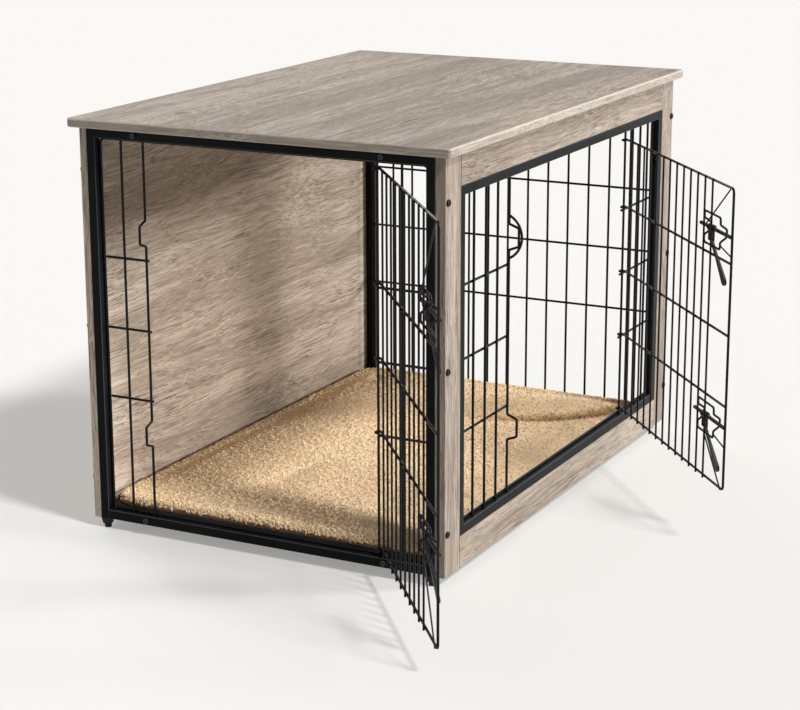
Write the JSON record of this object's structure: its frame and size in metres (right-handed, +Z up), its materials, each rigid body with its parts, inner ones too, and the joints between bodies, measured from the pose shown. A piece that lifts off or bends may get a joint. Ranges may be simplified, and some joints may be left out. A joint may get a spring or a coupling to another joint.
{
  "type": "pet crate",
  "caption": "Furniture-style pet crate with a wooden top, wood and steel walls, swinging wire doors with slide latches, levelling feet and a pile mat.",
  "frame": {"origin": "on the floor under the front left glide, where the crate's front end meets its wooden wall", "axes": "+Z up, front end with the tall door towards -Y, side door towards +X"},
  "size_m": [0.9313, 1.2169, 0.652],
  "materials": {
    "grey_oak": "washed grey oak laminate, matt",
    "dowel_wood": "plain beech",
    "black_steel": "satin powder coat",
    "black_wire": "satin powder coat",
    "latch_steel": "satin powder coat",
    "bolt_black": "black oxide",
    "zinc_steel": "zinc plated",
    "floor_black": "fine texture",
    "foot_plastic": "moulded",
    "pile_fabric": "curled pile"
  },
  "bodies": {
    "cabinet": {"top_board": "grey_oak", "left_panel": "grey_oak", "right_front_post": "grey_oak", "right_rear_post": "grey_oak", "right_bottom_rail": "grey_oak", "right_top_rail": "grey_oak", "rail_dowels": "dowel_wood", "floor_panel": "floor_black", "front_left_upright": "black_steel", "front_right_upright": "black_steel", "front_top_tube": "black_steel", "front_bottom_tube": "black_steel", "rear_left_upright": "black_steel", "rear_right_upright": "black_steel", "rear_top_tube": "black_steel", "rear_bottom_tube": "black_steel", "side_front_bar": "black_steel", "side_rear_bar": "black_steel", "side_top_bar": "black_steel", "side_bottom_bar": "black_steel", "top_stretchers": "black_steel", "bottom_stretchers": "black_steel", "front_rim_wire": "black_wire", "front_latch_grille": "black_wire", "front_hinge_grille": "black_wire", "side_rim_wire": "black_wire", "side_latch_grille": "black_wire", "side_hinge_grille": "black_wire", "rear_grille": "black_wire", "front_tube_bolts": "bolt_black", "rear_tube_bolts": "bolt_black", "right_post_bolts": "bolt_black", "left_panel_bolts": "bolt_black", "stretcher_end_nuts": "zinc_steel", "upright_inserts": "zinc_steel", "top_board_screws": "zinc_steel", "side_frame_screws": "zinc_steel", "foot_plugs": "foot_plastic"},
    "front_door": {"front_door_panel": "black_wire", "front_lower_latch_guide": "black_wire", "front_upper_latch_guide": "black_wire"},
    "front_lower_bolt": {"front_lower_latch_bolt": "latch_steel"},
    "front_lower_paddle": {"front_lower_latch_paddle": "latch_steel"},
    "front_upper_bolt": {"front_upper_latch_bolt": "latch_steel"},
    "front_upper_paddle": {"front_upper_latch_paddle": "latch_steel"},
    "side_door": {"side_door_panel": "black_wire", "side_lower_latch_guide": "black_wire", "side_upper_latch_guide": "black_wire"},
    "side_lower_bolt": {"side_lower_latch_bolt": "latch_steel"},
    "side_lower_paddle": {"side_lower_latch_paddle": "latch_steel"},
    "side_upper_bolt": {"side_upper_latch_bolt": "latch_steel"},
    "side_upper_paddle": {"side_upper_latch_paddle": "latch_steel"},
    "mat": {"mat": "pile_fabric"},
    "front_left_glide": {"front_left_glide": "foot_plastic"},
    "front_right_glide": {"front_right_glide": "foot_plastic"},
    "rear_left_glide": {"rear_left_glide": "foot_plastic"},
    "rear_right_glide": {"rear_right_glide": "foot_plastic"}
  },
  "joints": [
    {"name": "front_door_hinge", "type": "hinge", "parent": "cabinet", "child": "front_door", "pos_m": [0.48432, 0.0015, 0], "axis": [0, 0, 1], "range_deg": [-128.5, 31.5]},
    {"name": "front_lower_bolt_slide", "type": "slide", "parent": "front_door", "child": "front_lower_bolt", "axis": [0.6225, -0.7826, 0], "range_m": [0, 0.034]},
    {"name": "front_lower_paddle_pivot", "type": "hinge", "parent": "front_lower_bolt", "child": "front_lower_paddle", "pos_m": [0.67358, -0.22061, 0.165], "axis": [0.6225, -0.7826, 0], "range_deg": [0, 120]},
    {"name": "front_upper_bolt_slide", "type": "slide", "parent": "front_door", "child": "front_upper_bolt", "axis": [0.6225, -0.7826, 0], "range_m": [0, 0.034]},
    {"name": "front_upper_paddle_pivot", "type": "hinge", "parent": "front_upper_bolt", "child": "front_upper_paddle", "pos_m": [0.67358, -0.22061, 0.481], "axis": [0.6225, -0.7826, 0], "range_deg": [0, 120]},
    {"name": "side_door_hinge", "type": "hinge", "parent": "cabinet", "child": "side_door", "pos_m": [0.5895, 0.69545, 0], "axis": [0, 0, 1], "range_deg": [-41, 119]},
    {"name": "side_lower_bolt_slide", "type": "slide", "parent": "side_door", "child": "side_lower_bolt", "axis": [0.6561, -0.7547, 0], "range_m": [0, 0.034]},
    {"name": "side_lower_paddle_pivot", "type": "hinge", "parent": "side_lower_bolt", "child": "side_lower_paddle", "pos_m": [0.83764, 0.42501, 0.184], "axis": [0.6561, -0.7547, 0], "range_deg": [0, 120]},
    {"name": "side_upper_bolt_slide", "type": "slide", "parent": "side_door", "child": "side_upper_bolt", "axis": [0.6561, -0.7547, 0], "range_m": [0, 0.034]},
    {"name": "side_upper_paddle_pivot", "type": "hinge", "parent": "side_upper_bolt", "child": "side_upper_paddle", "pos_m": [0.83764, 0.42501, 0.481], "axis": [0.6561, -0.7547, 0], "range_deg": [0, 120]},
    {"name": "mat_lift", "type": "slide", "parent": "cabinet", "child": "mat", "axis": [0, 0, 1], "range_m": [0, 0.08]},
    {"name": "front_left_glide_level", "type": "slide", "parent": "cabinet", "child": "front_left_glide", "axis": [0, 0, -1], "range_m": [0, 0.008]},
    {"name": "front_right_glide_level", "type": "slide", "parent": "cabinet", "child": "front_right_glide", "axis": [0, 0, -1], "range_m": [0, 0.008]},
    {"name": "rear_left_glide_level", "type": "slide", "parent": "cabinet", "child": "rear_left_glide", "axis": [0, 0, -1], "range_m": [0, 0.008]},
    {"name": "rear_right_glide_level", "type": "slide", "parent": "cabinet", "child": "rear_right_glide", "axis": [0, 0, -1], "range_m": [0, 0.008]}
  ]
}
